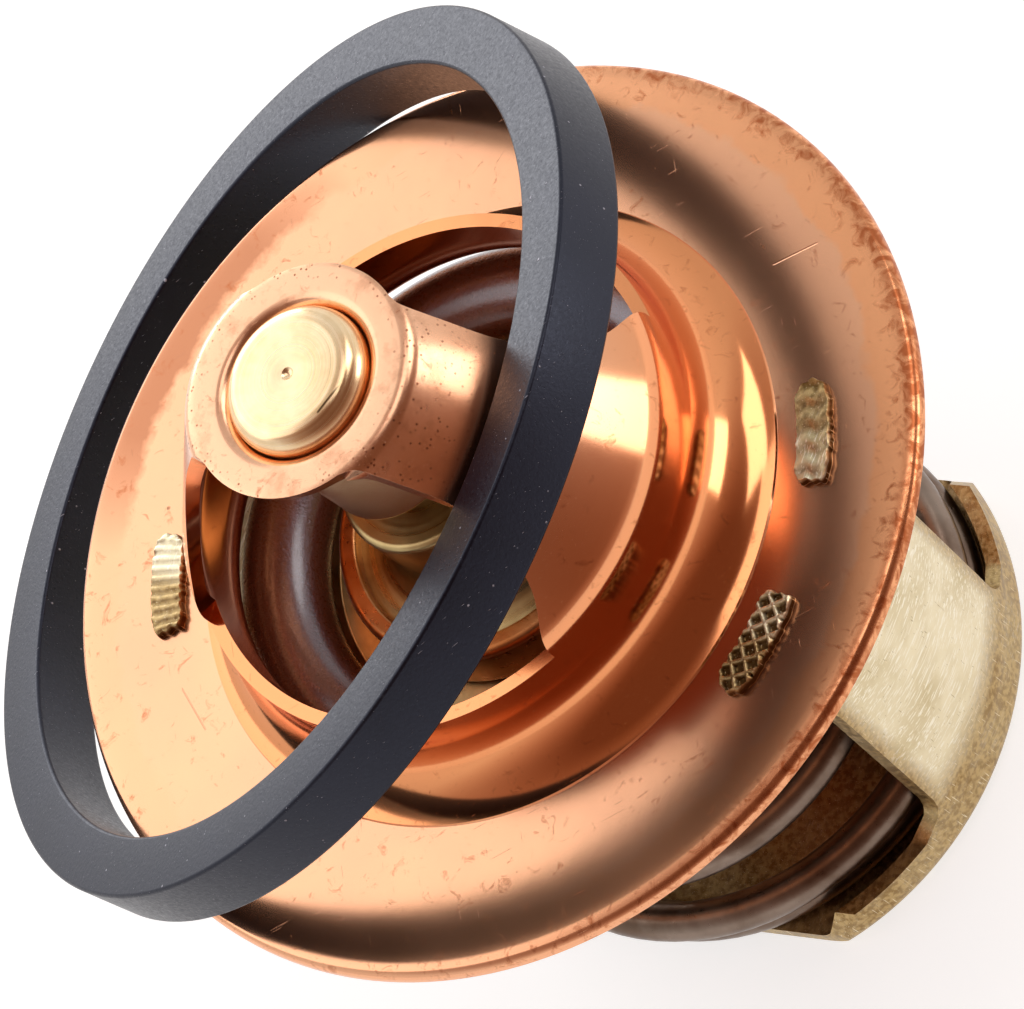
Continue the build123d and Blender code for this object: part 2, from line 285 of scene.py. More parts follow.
def rounded(points, radii, step=12.0):
    """A polyline with its inner corners rounded; radii has one number per inner corner."""
    pts = [np.array(p, float) for p in points]
    out = [pts[0]]
    for i, radius in enumerate(radii, start=1):
        a, b, c = pts[i - 1], pts[i], pts[i + 1]
        u, v = (a - b) / np.linalg.norm(a - b), (c - b) / np.linalg.norm(c - b)
        half = math.acos(max(-1.0, min(1.0, float(u @ v)))) / 2
        if radius <= 0 or half > math.pi / 2 - 1e-3:
            out.append(b)
            continue
        cut = radius / math.tan(half)
        centre = b + (u + v) / np.linalg.norm(u + v) * radius / math.sin(half)
        start, end = b + u * cut - centre, b + v * cut - centre
        turn = math.atan2(start[0] * end[1] - start[1] * end[0], float(start @ end))
        count = max(2, int(abs(math.degrees(turn)) / step) + 1)
        for k in range(count + 1):
            t = turn * k / count
            spin = np.array([[math.cos(t), -math.sin(t)], [math.sin(t), math.cos(t)]])
            out.append(centre + spin @ start)
    out.append(pts[-1])
    return out


def dense(points, longest):
    """The polyline with extra points so that no step is longer."""
    out = [points[0]]
    for a, b in zip(points, points[1:]):
        count = max(1, math.ceil(np.linalg.norm(b - a) / longest))
        out.extend(a + (b - a) * k / count for k in range(1, count + 1))
    return out


def sheet_rows(middle, half):
    """Two faces of a bent sheet, as point pairs beside its middle line."""
    rows = []
    for i, p in enumerate(middle):
        a, b = middle[max(i - 1, 0)], middle[min(i + 1, len(middle) - 1)]
        along = (b - a) / np.linalg.norm(b - a)
        normal = np.array([along[1], -along[0]])
        rows.append((p + normal * half, p - normal * half))
    return rows


def lathe(name, profile, material, columns=192, closed=False, sharp=35.0, matrix=None):
    """A turned piece from its profile of distance and height."""
    verts, faces = [], []
    for r, z in profile:
        for k in range(columns):
            a = 2 * math.pi * k / columns
            verts.append((r * math.cos(a), r * math.sin(a), z))
    rows = len(profile)
    for i in range(rows if closed else rows - 1):
        j = (i + 1) % rows
        for k in range(columns):
            m = (k + 1) % columns
            faces.append((i * columns + k, i * columns + m, j * columns + m, j * columns + k))
    return to_object(name, verts, faces, material, sharp, matrix)


def skin(name, outer, inner, keep, wrap, material, edge, extra=None):
    """A sheet from two grids of points, closed along its edges, its sheared edges rounded. Extra
    points and faces are joined on, and then no edge near the flange's face is rounded."""
    rows, columns = len(outer), len(outer[0])
    faces = []
    for i in range(rows - 1):
        for k in range(columns if wrap else columns - 1):
            m = (k + 1) % columns
            if keep(i, k):
                faces.append((i * columns + k, i * columns + m,
                              (i + 1) * columns + m, (i + 1) * columns + k))
    edges = {(f[n], f[(n + 1) % 4]) for f in faces for n in range(4)}
    total = rows * columns
    shell = list(faces)
    shell += [tuple(v + total for v in reversed(f)) for f in faces]
    verts = [p for row in outer for p in row] + [p for row in inner for p in row]
    walls = [(b, a, a + total, b + total) for a, b in edges if (b, a) not in edges]
    # Walls that fall on each other are seams inside the sheet
    places = [frozenset(tuple(round(c, 4) for c in verts[v]) for v in f) for f in walls]
    times = Counter(places)
    shell += [f for f, place in zip(walls, places) if times[place] == 1]
    used = sorted({v for f in shell for v in f})
    index = {v: n for n, v in enumerate(used)}
    verts = [verts[v] for v in used]
    shell = [tuple(index[v] for v in f) for f in shell]
    if extra:
        base = len(verts)
        verts += extra[0]
        shell += [tuple(v + base for v in f) for f in extra[1]]
    obj = to_object(name, verts, shell, material, 35.0)
    work = bmesh.new()
    work.from_mesh(obj.data)
    limit = math.radians(50)
    sheared = [float(len(e.link_faces) == 2 and e.calc_face_angle() > limit
                     and (not extra or max(v.co.z for v in e.verts) < (FACE - 0.3) * MM))
               for e in work.edges]
    work.free()
    obj.data.attributes.new("bevel_weight_edge", "FLOAT", "EDGE").data.foreach_set("value", sheared)
    mod = obj.modifiers.new("edge rounding", "BEVEL")
    mod.width = edge * MM
    mod.segments = 2
    mod.limit_method = "WEIGHT"
    mod.harden_normals = True
    return obj


# Finishes


def tombac_pressing(colours):
    """Tombac, a red brass, deep drawn: mirror-smooth where the die stretched it, satin and
    stained by coolant on the flange, pitted and mottled on the head, with hair scratches."""
    mat, tree = new_material("Tombac sheet, deep drawn")
    where = add(tree, "TexCoord", out="Object")
    flat = add(tree, "VectorMath", {0: where, 1: (1.0, 1.0, 0.0)}, operation="MULTIPLY")
    r = add(tree, "VectorMath", {0: flat}, "Value", operation="LENGTH")
    way = add(tree, "VectorMath", {0: flat}, operation="NORMALIZE")
    z = add(tree, "SeparateXYZ", {0: where}, "Z")
    cloud = add(tree, "TexNoise", {"Vector": where, "Scale": 1 / (7 * MM), "Detail": 3.0}, "Fac")

    # The rim is rubbed bright up to a wavering line; brown blotches grow on it, most on one side
    wobble = add(tree, "TexNoise", {
        "Vector": where, "Scale": 1 / (2.2 * MM), "Detail": 4.0, "Roughness": 0.62}, "Fac")
    reach = add(tree, "Math", {0: wobble, 1: 2.2 * MM, 2: r}, operation="MULTIPLY_ADD")
    rim = add(tree, "MapRange", {"Value": reach, "From Min": 25.2 * MM, "From Max": 25.6 * MM})
    side = add(tree, "VectorMath", {0: way, 1: heading(STAIN_SIDE)}, "Value", operation="DOT_PRODUCT")
    side = add(tree, "MapRange", {
        "Value": side, "From Min": -0.2, "From Max": 0.95, "To Min": 0.15, "To Max": 1.0})
    rim = add(tree, "Math", {0: rim, 1: side}, operation="MULTIPLY")
    blot = add(tree, "TexNoise", {"Vector": where, "Scale": 1 / (0.95 * MM), "Detail": 5.0,
                                  "Roughness": 0.66, "Distortion": 0.9}, "Fac")
    close = add(tree, "MapRange", {
        "Value": r, "From Min": 25.0 * MM, "From Max": 26.7 * MM, "To Min": 0.0, "To Max": 0.22})
    grown = add(tree, "Math", {0: close, 1: side, 2: blot}, operation="MULTIPLY_ADD")
    stain = add(tree, "MapRange", {"Value": grown, "From Min": 0.60, "From Max": 0.80})
    patch = add(tree, "VectorMath", {0: way, 1: heading(PATCH_SIDE)}, "Value", operation="DOT_PRODUCT")
    patch = add(tree, "MapRange", {"Value": patch, "From Min": 0.86, "From Max": 0.97})
    edge = add(tree, "MapRange", {"Value": reach, "From Min": 25.2 * MM, "From Max": 25.9 * MM})
    patch = add(tree, "Math", {0: patch, 1: edge}, operation="MULTIPLY")

    pits = specks(tree, where, 2.4, 0.1, 0.10)
    dots = specks(tree, where, 5.5, 0.2, 0.12)
    dark = add(tree, "Math", {0: pits, 1: dots}, operation="MAXIMUM")
    hair = strokes(tree, where, 3.5, 0.05, (0.0, 0.0, 0.6), 0.775)
    cross = strokes(tree, where, 2.4, 0.05, (0.0, 0.0, -1.1), 0.78)
    marks = add(tree, "Math", {0: hair, 1: cross}, operation="MAXIMUM")
    for scratch in SCRATCHES:
        line = line_mark(tree, where, *scratch)
        marks = add(tree, "Math", {0: marks, 1: line}, operation="MAXIMUM")

    # Painted reflection makes the throat deeper orange; the head is painted paler for the light on it,
    # with fine pits round its edge and darker mottling
    clouded = add(tree, "MapRange", {"Value": cloud, "From Min": 0.3, "From Max": 0.7})
    # Painted reflection: deeper orange low in the throat, inside the coined face, for the copper's
    # reflection of itself
    deep = add(tree, "MapRange", {"Value": z, "From Min": 42 * MM, "From Max": 36 * MM})
    inside = add(tree, "MapRange", {"Value": r, "From Min": 18.45 * MM, "From Max": 18.3 * MM})
    deep = add(tree, "Math", {0: deep, 1: inside}, operation="MULTIPLY")
    # Painted light: the head's top is painted paler, as if lit from above
    painted_light_crown = add(tree, "MapRange", {"Value": z, "From Min": 46.5 * MM, "From Max": 49.2 * MM})
    top = add(tree, "MapRange", {"Value": z, "From Min": 44 * MM, "From Max": 49 * MM})
    brim = add(tree, "MapRange", {"Value": reach, "From Min": 6.8 * MM, "From Max": 7.6 * MM})
    crowd = specks(tree, where, 0.32, 0.09, 0.6)
    crowd = add(tree, "Math", {0: crowd, 1: top}, operation="MULTIPLY")
    crowd = add(tree, "Math", {0: crowd, 1: brim}, operation="MULTIPLY")
    mottle = add(tree, "TexNoise", {
        "Vector": where, "Scale": 1 / (1.7 * MM), "Detail": 4.0, "Roughness": 0.65}, "Fac")
    mottle = add(tree, "MapRange", {
        "Value": mottle, "From Min": 0.50, "From Max": 0.68, "To Min": 0.0, "To Max": 0.5})
    mottle = add(tree, "Math", {0: mottle, 1: top}, operation="MULTIPLY")
    base = laid_over(
        tree, tuple(colours.tombac), (clouded, rgb("e8ab86")), (deep, rgb("ec9a66")),
        (painted_light_crown, rgb("f4bd98")), (rim, rgb("f0a878")), (patch, rgb("b67a5a")),
        (stain, tuple(colours.tombac_stain)), (crowd, rgb("9c6244")), (mottle, rgb("c08462")),
        (dark, rgb("6a3c26")))

    throat = add(tree, "MapRange", {
        "Value": r, "From Min": 18.5 * MM, "From Max": 18.2 * MM, "To Min": 0.18, "To Max": 0.09})
    high = add(tree, "MapRange", {
        "Value": z, "From Min": 37 * MM, "From Max": 48 * MM, "To Min": 0.0, "To Max": 0.12})
    rough = add(tree, "Math", {0: throat, 1: high}, operation="ADD")
    rough = add(tree, "Math", {0: stain, 1: 0.12, 2: rough}, operation="MULTIPLY_ADD")
    rough = add(tree, "Math", {0: cloud, 1: 0.05, 2: rough}, operation="MULTIPLY_ADD")
    dents = add(tree, "Math", {0: dark, 1: marks}, operation="MAXIMUM")
    finish_material(tree, piled_up(tree, (dents, -0.02), (cloud, 0.02)), {
        "Base Color": base, "Metallic": 1.0, "Roughness": rough})
    return mat


def strip_brass(colours):
    """Brass strip, pressed and dulled in use: pale with fine cross scratches and pits, painted highlights
    on fine waves, painted shade in mottled golden brown along the sheared sides and where it bends at the
    lip and foot, and painted shade between the punched ridges."""
    mat, tree = new_material("Brass strip, pressed")
    where = add(tree, "TexCoord", out="Object")
    y, z = add(tree, "SeparateXYZ", {0: where}, None)[1:]
    cloud = add(tree, "TexNoise", {"Vector": where, "Scale": 1 / (4 * MM), "Detail": 3.0}, "Fac")
    grain = add(tree, "TexNoise", {"Vector": where, "Scale": 1 / (0.35 * MM), "Detail": 3.0}, "Fac")
    drawn = strokes(tree, where, 3.0, 0.09, (0.0, math.pi / 2, 0.0), 0.72)
    bright = strokes(tree, where, 2.6, 0.07, (0.15, math.pi / 2, 0.0), 0.69)
    # Fine waves across the leg: a real bump, with a near-white painted highlight on their crests
    ripple_and_glint = strokes(tree, where, 1.5, 0.11, (0.0, 0.2, math.pi / 2), 0.58)
    pits = specks(tree, where, 1.7, 0.07, 0.10)
    # Painted shade: mottled golden brown along the legs' sides, over the lip and towards the foot, where
    # the strip curves away from the light
    across = add(tree, "Math", {0: y}, operation="ABSOLUTE")
    cut = add(tree, "MapRange", {"Value": across, "From Min": 5.2 * MM, "From Max": 6.3 * MM})
    low = add(tree, "MapRange", {"Value": z, "From Min": 6.4 * MM, "From Max": 3.8 * MM})
    curved_away_shade = add(tree, "Math", {0: cut, 1: low}, operation="MAXIMUM")
    patchy = add(tree, "MapRange", {
        "Value": cloud, "From Min": 0.3, "From Max": 0.6, "To Min": 0.7, "To Max": 1.0})
    curved_away_shade = add(tree, "Math", {0: curved_away_shade, 1: patchy}, operation="MULTIPLY")
    # Painted shade: dark brown in the low ground between the tabs' punched ridges
    over = add(tree, "MapRange", {
        "Value": z, "From Min": (FACE + 0.01) * MM, "From Max": (FACE + 0.05) * MM})
    valley_shade = add(tree, "MapRange", {
        "Value": z, "From Min": (FACE + 0.56) * MM, "From Max": (FACE + 0.3) * MM})
    valley_shade = add(tree, "Math", {0: over, 1: valley_shade}, operation="MULTIPLY")
    pale = add(tree, "ValToRGB", {0: cloud}, stops=(
        (0.30, rgb("d6c59a")), (0.62, tuple(colours.strip_brass))))
    golden = add(tree, "ValToRGB", {0: grain}, stops=((0.40, rgb("967848")), (0.60, rgb("c2a570"))))
    base = laid_over(
        tree, pale, (ripple_and_glint, rgb("fbf3dc")), (curved_away_shade, golden), (valley_shade, rgb("604828")),
        (drawn, rgb("b8a478")), (bright, rgb("efe0bc")), (pits, rgb("75623f")))
    rough = add(tree, "MapRange", {
        "Value": grain, "From Min": 0.3, "From Max": 0.7, "To Min": 0.30, "To Max": 0.46})
    height = piled_up(tree, (grain, 0.012), (ripple_and_glint, 0.006), (drawn, -0.004), (pits, -0.015))
    finish_material(tree, height, {"Base Color": base, "Metallic": 1.0, "Roughness": rough})
    return mat


def turned_brass(name, light, dark, rough, groove_mm, nick=None):
    """Brass bar, turned: fine rings round the axis catch the light, some deeper than others,
    over a tint that follows them, with dark pores and a scratch where one is given."""
    mat, tree = new_material(name)
    where = add(tree, "TexCoord", out="Object")
    flat = add(tree, "VectorMath", {0: where, 1: (1.0, 1.0, 0.0)}, operation="MULTIPLY")
    r = add(tree, "VectorMath", {0: flat}, "Value", operation="LENGTH")
    z = add(tree, "SeparateXYZ", {0: where}, "Z")
    rings, levels = (
        add(tree, "TexNoise", {"W": along, "Scale": 1 / (groove_mm * MM), "Detail": 2.0}, "Fac",
            noise_dimensions="1D")
        for along in (r, z)
    )
    cloud = add(tree, "TexNoise", {"Vector": where, "Scale": 1 / (1.6 * MM), "Detail": 4.0}, "Fac")
    tint = add(tree, "Math", {0: rings, 1: 0.5, 2: cloud}, operation="MULTIPLY_ADD")
    spots = specks(tree, where, 1.3, 0.06, 0.2)
    base = add(tree, "ValToRGB", {0: tint}, stops=((0.45, dark), (0.95, light)))
    base = laid_over(tree, base, (spots, rgb("5a452a")))
    if nick:
        base = laid_over(tree, base, (line_mark(tree, where, *nick), rgb("6b5436")))
    rough = add(tree, "MapRange", {
        "Value": rings, "From Min": 0.3, "From Max": 0.7, "To Min": rough - 0.05, "To Max": rough + 0.08})
    height = piled_up(tree, (rings, 0.003), (levels, 0.003), (spots, -0.02))
    finish_material(tree, height, {"Base Color": base, "Metallic": 1.0, "Roughness": rough})
    return mat


def drawn_metal(name, light, dark, rough, grain_mm, depth):
    """A drawn or ground metal: soft tarnish clouds over a fine even grain that dulls it."""
    mat, tree = new_material(name)
    where = add(tree, "TexCoord", out="Object")
    cloud = add(tree, "TexNoise", {"Vector": where, "Scale": 1 / (3 * MM), "Detail": 4.0}, "Fac")
    grain = add(tree, "TexNoise", {"Vector": where, "Scale": 1 / (grain_mm * MM), "Detail": 3.0}, "Fac")
    spots = specks(tree, where, 1.6, 0.09, 0.25)
    base = add(tree, "ValToRGB", {0: cloud}, stops=((0.35, dark), (0.65, light)))
    base = laid_over(tree, base, (spots, rgb("3a2c22")))
    rough = add(tree, "MapRange", {
        "Value": grain, "From Min": 0.3, "From Max": 0.7, "To Min": rough - 0.05, "To Max": rough + 0.07})
    height = piled_up(tree, (grain, depth), (spots, -0.02))
    finish_material(tree, height, {"Base Color": base, "Metallic": 1.0, "Roughness": rough})
    return mat


def moulded(name, colour, second, rough, grain_mm, depth, gloss=0.5, coat=0.0, dust=None):
    """Rubber, polymer or wax out of a mould: a fine grain that breaks the highlight into
    sparkles, an oily film where it has a coat, and dust where a dust colour is given."""
    mat, tree = new_material(name)
    where = add(tree, "TexCoord", out="Object")
    cloud = add(tree, "TexNoise", {"Vector": where, "Scale": 1 / (3.5 * MM), "Detail": 4.0}, "Fac")
    grain = add(tree, "TexNoise", {
        "Vector": where, "Scale": 1 / (grain_mm * MM), "Detail": 4.0, "Roughness": 0.6}, "Fac")
    base = add(tree, "ValToRGB", {0: cloud}, stops=((0.35, colour), (0.7, second)))
    layers = [(grain, depth)]
    if dust:
        small = specks(tree, where, 0.9, 0.085, 0.25)
        large = specks(tree, where, 2.6, 0.13, 0.16)
        fluff = strokes(tree, where, 0.9, 0.07, (0.4, 0.2, 0.9), 0.75)
        film = add(tree, "MapRange", {
            "Value": grain, "From Min": 0.62, "From Max": 0.8, "To Min": 0.0, "To Max": 0.06})
        caught = small
        for other in (large, fluff, film):
            caught = add(tree, "Math", {0: caught, 1: other}, operation="MAXIMUM")
        base = laid_over(tree, base, (caught, dust))
        layers.append((caught, 0.03))
    rough = add(tree, "MapRange", {
        "Value": grain, "From Min": 0.3, "From Max": 0.7, "To Min": rough - 0.1, "To Max": rough + 0.08})
    finish_material(tree, piled_up(tree, *layers), {
        "Base Color": base, "Specular IOR Level": gloss, "Specular Tint": rgb("dae1ff"),
        "Coat Weight": coat, "Coat Roughness": 0.22, "Coat IOR": 1.8, "Roughness": rough})
    return mat


# Shapes


def window_outline(s):
    """Azimuth of the window's edge, from the leg's middle, against distance from the axis."""
    foot_x, foot_y = WINDOW_X - FOOT_ROUND, NECK_HALF + FOOT_ROUND
    join_y = NECK_HALF + HEAD_LEG_ROUND
    join_x = math.sqrt((s.head_radius + HEAD_LEG_ROUND) ** 2 - join_y**2)
    start = math.atan2(-join_y, -join_x)
    points = [(join_x + HEAD_LEG_ROUND * math.cos(t), join_y + HEAD_LEG_ROUND * math.sin(t))
              for t in np.linspace(start, -math.pi / 2, 9)]
    points += [(x, NECK_HALF) for x in np.linspace(join_x + 0.3, foot_x, 8)]
    points += [(foot_x + FOOT_ROUND * math.cos(t), foot_y + FOOT_ROUND * math.sin(t))
               for t in np.linspace(-math.pi / 2, 0, 13)[1:]]
    points += [(WINDOW_X, y) for y in np.linspace(foot_y + 0.3, WINDOW_END, 10)]
    radii, angles = zip(*sorted((math.hypot(x, y), math.atan2(y, x)) for x, y in points))
    return lambda r: float(np.interp(r, radii, angles))


def pressing_rows(s):
    """Face pairs of the drawn front pressing, from its rim over throat and bridge to its neck."""
    half = s.sheet / 2
    wall = s.throat_radius - half
    shoulder = SHOULDER - half * math.tan(math.atan(BRIDGE_SLOPE) / 2)
    head = HEAD - half
    neck = PIN_R + 0.02 + half
    corners = [(s.flange_radius, -half), (wall, -half), (wall, shoulder),
               (wall - BRIDGE_SLOPE * (head - shoulder), head), (neck, head), (neck, NECK_FOOT)]
    bends = [THROAT_BEND + half, SHOULDER_ROUND - half, HEAD_ROUND - half, NECK_ROUND - half]
    rows = sheet_rows(dense(rounded(corners, bends, 3.0), 0.5), half)
    # Two rows close together where the coined face cuts the throat's bend
    crease = next(i for i, (out, _) in enumerate(rows) if out[0] <= COIN_R)
    for r in (COIN_R - 0.05, COIN_R + 0.05):
        t = math.asin((s.throat_radius + THROAT_BEND - r) / THROAT_BEND)
        centre = np.array([s.throat_radius + THROAT_BEND, THROAT_BEND])
        way = np.array([-math.sin(t), -math.cos(t)])
        rows.insert(crease, (centre + way * THROAT_BEND, centre + way * (THROAT_BEND + s.sheet)))
    for out, _ in rows:
        if out[0] > COIN_R and out[1] < 1.0:
            out[1] = 0.0
    return [(a, b) for a, b in rows if a[0] <= s.flange_radius - RIM_ROUND or a[1] > 1.0]


def front_pressing(s, material):
    """Flange, throat and two-legged bridge in one sheet, with the windows between the legs."""
    edge = window_outline(s)
    arc = [
        (np.array([s.flange_radius - RIM_ROUND * (1 - math.sin(t)), RIM_ROUND * (math.cos(t) - 1)]),
         np.array([s.flange_radius - RIM_BACK_ROUND * (1 - math.sin(t)), -s.sheet]))
        for t in np.radians([90, 75, 60, 45, 30, 15])
    ]
    rows = arc + pressing_rows(s)
    sill = next(i for i, (p, _) in enumerate(rows) if p[1] >= s.sill_height)
    for p in rows[sill]:
        p[1] = s.sill_height
    head = next(i for i, (p, _) in enumerate(rows) if p[0] <= s.head_radius)
    legs, gaps = 40, 56
    grids = ([], [])
    for i, pair in enumerate(rows):
        for grid, (r, z) in zip(grids, pair):
            if i < sill:
                reach = edge(s.throat_radius)
            elif i >= head:
                reach = edge(s.head_radius)
            else:
                reach = edge(r)
            ring = []
            for side in (0, math.pi):
                ring += [side + reach * (2 * k / legs - 1) for k in range(legs)]
                gap = math.pi - 2 * reach
                ring += [side + reach + gap * k / gaps for k in range(gaps)]
            grid.append([(r * math.cos(a), r * math.sin(a), FACE + z) for a in ring])

    def keep(i, k):
        return k % (legs + gaps) < legs or i < sill or i >= head

    return skin("front_pressing", grids[0], grids[1], keep, True, material, s.edge_rounding)


def tab_head(angle, marks, columns=84, lines=36):
    """The peened end of a cage tab, as points and faces: a ragged outline, and the punch's marks
    as bars, fine bars or a knurl over it."""
    aspect = 2.4
    verts = []
    for i in range(lines + 1):
        q = 2 * i / lines - 1
        for k in range(columns + 1):
            p = 2 * k / columns - 1
            corner = abs(p) ** 7 + abs(q) ** 3.2
            shrink = 1.0 if corner <= 1 else corner ** -0.2
            edge = max(0.0, 1 - corner)
            turn = math.atan2(q, p * aspect)
            ragged = 1 - 0.05 * (1 - edge) * (
                1 + math.sin(9 * turn + angle) * 0.6 + math.sin(23 * turn + 2 * angle) * 0.5)
            height = TAB_HEIGHT * min(1.0, edge * 4.5) ** 0.5
            inner = min(1.0, edge * 3)
            if marks == "soft":
                mark = 0.5 + 0.5 * math.cos(2 * math.pi * (p * aspect + 0.12 * math.sin(5 * q)))
                burr = 0.5 + 0.5 * math.sin(31 * turn + 7 * q)
                depth = 0.10 * mark * inner + 0.07 * burr * (1 - inner)
            elif marks == "knurl":
                cross = min(abs(math.sin(p * 9.0 + q * 2.8)), abs(math.sin(p * 9.0 - q * 2.8)))
                depth = 0.3 * min(1.0, max(0.0, cross - 0.3) * 2.5) * inner
            else:
                mark = 0.5 + 0.5 * math.cos(2 * math.pi * (p * 5.2 + 0.2 * q))
                depth = 0.12 * mark * inner
            a = math.radians(angle + TAB_HALF_ARC * p * shrink * ragged)
            r = TAB_R + TAB_HALF_WIDTH * q * shrink * ragged
            verts.append((r * math.cos(a), r * math.sin(a), FACE + max(height - depth, -0.02)))
    width = columns + 1
    last = lines * width
    faces = [(n, n + 1, n + width + 1, n + width)
             for start in range(0, last, width) for n in range(start, start + columns)]
    rim = [*range(columns), *range(columns, last + columns, width),
           *range(last + columns, last, -1), *range(last, 0, -width)]
    return verts, [*faces, tuple(reversed(rim))]


def rear_cage(s, material):
    """Foot plate with its upturned lip, two legs that lean out, and their peened tabs."""
    half = s.cage_sheet / 2
    leg = s.cage_radius - half
    corners = [(CAGE_HOLE, half), (leg, half), (leg + 0.1, KNEE_HEIGHT), (TAB_R, FACE - s.sheet)]
    rows = sheet_rows(dense(rounded(corners, [CAGE_BEND - half, KNEE_BEND], 6.0), 0.35), half)
    lip = next(i for i, (out, _) in enumerate(rows) if out[1] >= s.lip_height)
    legs, lips = 20, 22
    zs, ys = zip((s.lip_height, LIP_HALF), *LEG_EDGE)
    grids = ([], [])
    for i, pair in enumerate(rows):
        for grid, (r, z) in zip(grids, pair):
            if i == lip:
                z = s.lip_height
            y = float(np.interp(z, zs, ys)) if i >= lip else LIP_HALF
            reach = math.asin(y / max(r, s.cage_radius - s.cage_sheet))
            slant = max(0.0, (z - s.cage_sheet) / (s.lip_height - s.cage_sheet)) * LIP_SLANT
            cut = CAGE_SIDE - min(slant, LIP_SLANT)
            end = math.pi / 2 if r <= cut else math.asin(cut / r)
            ring = []
            for side in (0, math.pi):
                ring += [side - end + (end - reach) * k / lips for k in range(lips)]
                ring += [side - reach + 2 * reach * k / legs for k in range(legs)]
                ring += [side + reach + (end - reach) * k / lips for k in range(lips + 1)]
            grid.append([(r * math.cos(a), r * math.sin(a), z) for a in ring])
    count = 2 * lips + legs + 1

    def keep(i, k):
        n = k % count
        return n != count - 1 and (i < lip or lips <= n < lips + legs)

    tabs = ([], [])
    for angle, marks in TABS:
        verts, faces = tab_head(angle, marks)
        base = len(tabs[0])
        tabs[0].extend(verts)
        tabs[1].extend(tuple(v + base for v in f) for f in faces)
    return skin("brass_cage", grids[0], grids[1], keep, False, material, s.edge_rounding, tabs)


def spring(s, material):
    """The conical spring: round wire along a helix that passes through the SPRING points."""
    turns, radii, heights = (np.array(c) for c in zip(*SPRING))

    def slope(i, values):
        if i in (0, len(turns) - 1):
            return 0.0
        before = (values[i] - values[i - 1]) / (turns[i] - turns[i - 1])
        after = (values[i + 1] - values[i]) / (turns[i + 1] - turns[i])
        return 0.0 if before * after <= 0 else 2 * before * after / (before + after)

    def smooth(t, values):
        i = min(int(np.searchsorted(turns, t + 1e-9, side="right")) - 1, len(turns) - 2)
        span = turns[i + 1] - turns[i]
        u = (t - turns[i]) / span
        return (values[i] * (2 * u**3 - 3 * u**2 + 1) + span * slope(i, values) * (u**3 - 2 * u**2 + u)
                + values[i + 1] * (3 * u**2 - 2 * u**3) + span * slope(i + 1, values) * (u**3 - u**2))

    count, around = 460, 28
    wire = s.wire_diameter / 2
    low = s.cage_sheet + wire + PLATE_GAP
    path = []
    for k in range(count + 1):
        t = turns[-1] * k / count
        a = math.radians(SPRING_FOOT) + 2 * math.pi * t
        r = smooth(t, radii)
        path.append(Vector((r * math.cos(a), r * math.sin(a), low + smooth(t, heights))))
    verts, faces = [], []
    for k, p in enumerate(path):
        along = (path[min(k + 1, count)] - path[max(k - 1, 0)]).normalized()
        out = Vector((p.x, p.y, 0)).normalized()
        up = along.cross(out).normalized()
        out = up.cross(along)
        for n in range(around):
            a = 2 * math.pi * n / around
            verts.append(p + (out * math.cos(a) + up * math.sin(a)) * wire)
    for k in range(count):
        for n in range(around):
            m = (n + 1) % around
            faces.append((k * around + n, k * around + m, (k + 1) * around + m, (k + 1) * around + n))
    faces.append(tuple(range(around)))
    faces.append(tuple(count * around + n for n in range(around)))
    return to_object("spring", verts, faces, material, 50)


def colour_property(name, description, code):
    return FloatVectorProperty(name=name, description=description, default=rgb(code), size=4,
                               min=0.0, max=1.0, subtype="COLOR")


def length_property(name, description, size_mm):
    return FloatProperty(name=name, description=description, default=size_mm * MM, min=0.0,
                         precision=5, unit="LENGTH")


class ThermostatSizes(bpy.types.PropertyGroup):
    """Sizes of the visible pieces that a user may change"""

    flange_radius: length_property(
        "Flange radius", "Outer radius of the flange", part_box("flange_bridge")[1][0] / MM)
    sheet: length_property("Tombac sheet", "Thickness of the front pressing", 0.8)
    throat_radius: length_property("Throat radius", "Outer radius of the drawn throat", 15.2)
    sill_height: length_property("Sill height", "Height of the window sills over the flange", 6.2)
    head_radius: length_property("Head radius", "Radius of the bridge's head disc", 6.8)
    edge_rounding: length_property("Edge rounding", "Rounding of the sheared sheet edges", 0.1)
    cage_radius: length_property("Cage radius", "Outer radius of the rear cage at its foot", 17.95)
    cage_sheet: length_property("Cage sheet", "Thickness of the cage's brass strip", 0.9)
    lip_height: length_property("Lip height", "Height of the upturned lip of the foot plate", 2.9)
    wire_diameter: length_property("Spring wire", "Diameter of the spring's wire", 2.3)
    seal_radius: length_property("Seal radius", "Outer radius of the loose seal", 26.67)
    seal_width: length_property("Seal width", "Width of the loose seal's section", 3.58)
    seal_height: length_property("Seal height", "Height of the loose seal's section", 3.94)


class ThermostatColours(bpy.types.PropertyGroup):
    """Colours of the finishes that a user may change"""

    tombac: colour_property("Tombac", "Bright red-brass sheet", "efb088")
    tombac_stain: colour_property("Tombac stain", "Brown coolant stains on the rim", "b2643c")
    strip_brass: colour_property("Cage brass", "Pale pressed brass strip", "f0e4c2")
    bar_brass: colour_property("Pin brass", "Turned brass bar", "ffe2b8")
    spring_steel: colour_property("Spring steel", "Dark drawn spring wire", "8c7b6e")
    # The bead's brown: dark brown rubber, partly a painted reflection of the copper wall
    bead_rubber: colour_property("Bead rubber", "Brown moulded rubber", "783e28")
    seal_rubber: colour_property("Seal rubber", "Blue-black moulded rubber", "090a15")
    dust: colour_property("Dust", "Light dust on the loose seal", "a6a6b2")


def in_mm(context):
    """The sizes as plain numbers in mm."""
    group = context.scene.thermostat_sizes
    return SimpleNamespace(**{key: getattr(group, key) / MM for key in ThermostatSizes.__annotations__})


def fit(obj, body, node):
    """The piece rides on its body and stands for its CAD node."""
    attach(obj, body)
    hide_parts(node)


